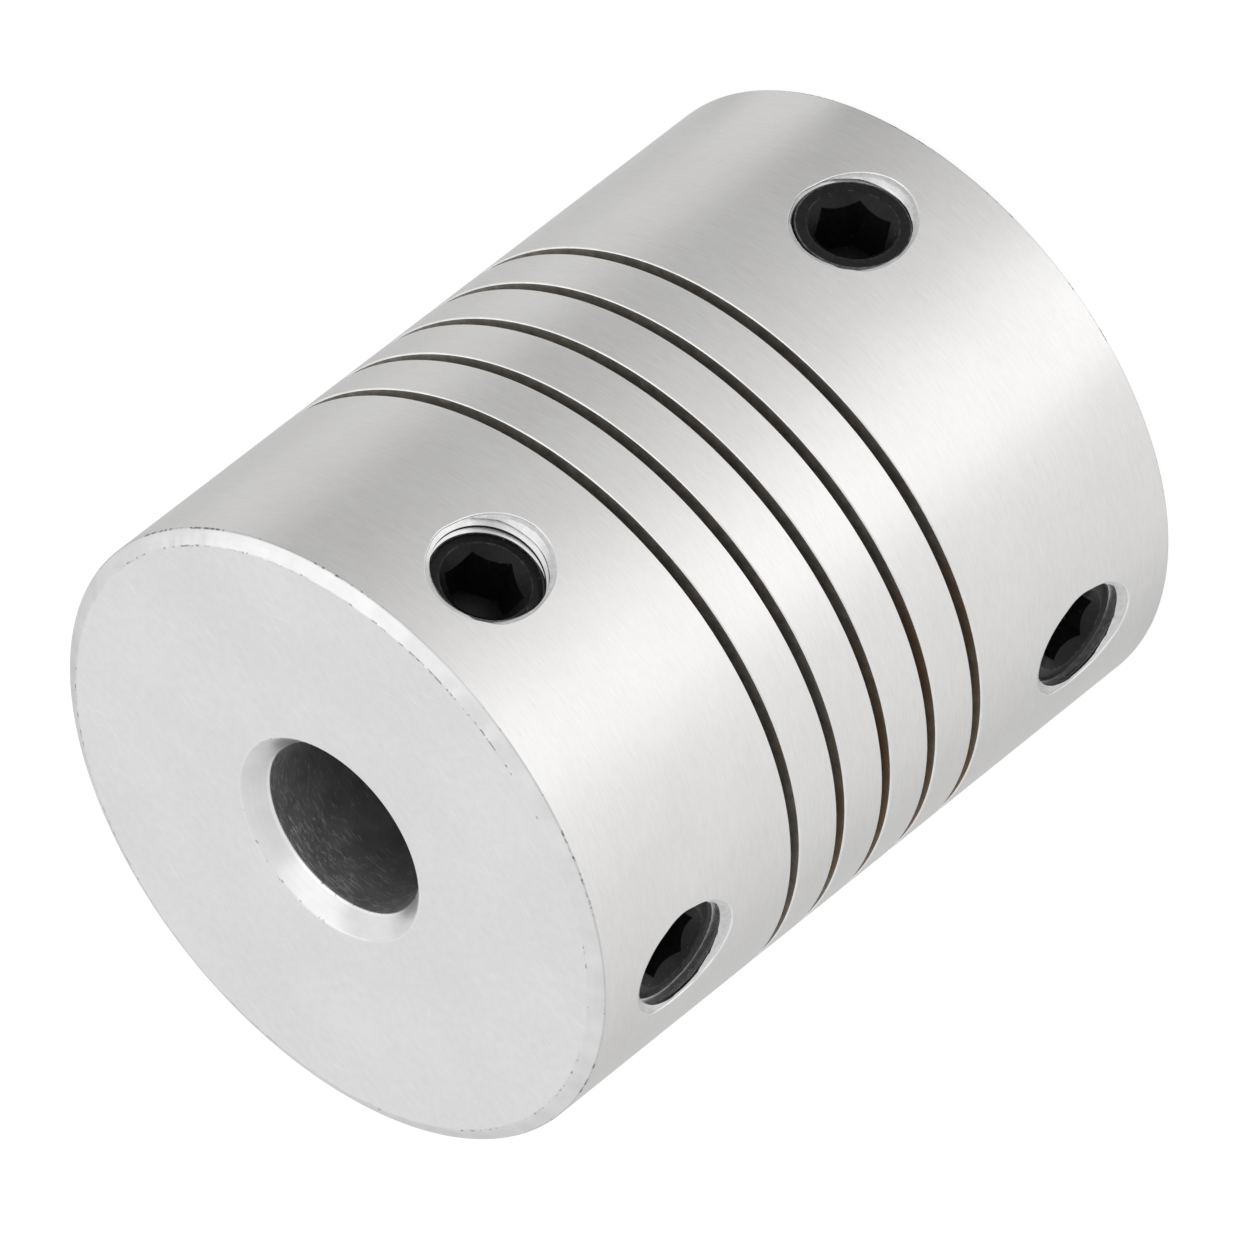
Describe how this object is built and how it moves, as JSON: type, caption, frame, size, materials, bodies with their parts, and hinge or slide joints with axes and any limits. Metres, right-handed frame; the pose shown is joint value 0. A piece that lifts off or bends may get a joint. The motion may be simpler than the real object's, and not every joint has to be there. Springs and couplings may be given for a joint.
{
  "type": "helical beam shaft coupling",
  "caption": "Flexible shaft coupling turned from one aluminium bar, with a through bore, a sawn helical slit in its middle and cup-point set screws in both hubs.",
  "frame": {"origin": "centre of the lower end face, on the shaft axis, where the coupling stands on its end", "axes": "+Z along the shaft axis from the lower hub to the upper hub, +X through the first set screw of each hub"},
  "size_m": [0.025, 0.025, 0.031],
  "materials": {
    "turned_aluminium": "fine turned and satin, bare metal",
    "black_steel": "black oxide, lightly oiled"
  },
  "bodies": {
    "root": {"body": "turned_aluminium", "upper_screw_a": "black_steel", "upper_screw_b": "black_steel", "lower_screw_a": "black_steel", "lower_screw_b": "black_steel"}
  },
  "joints": []
}
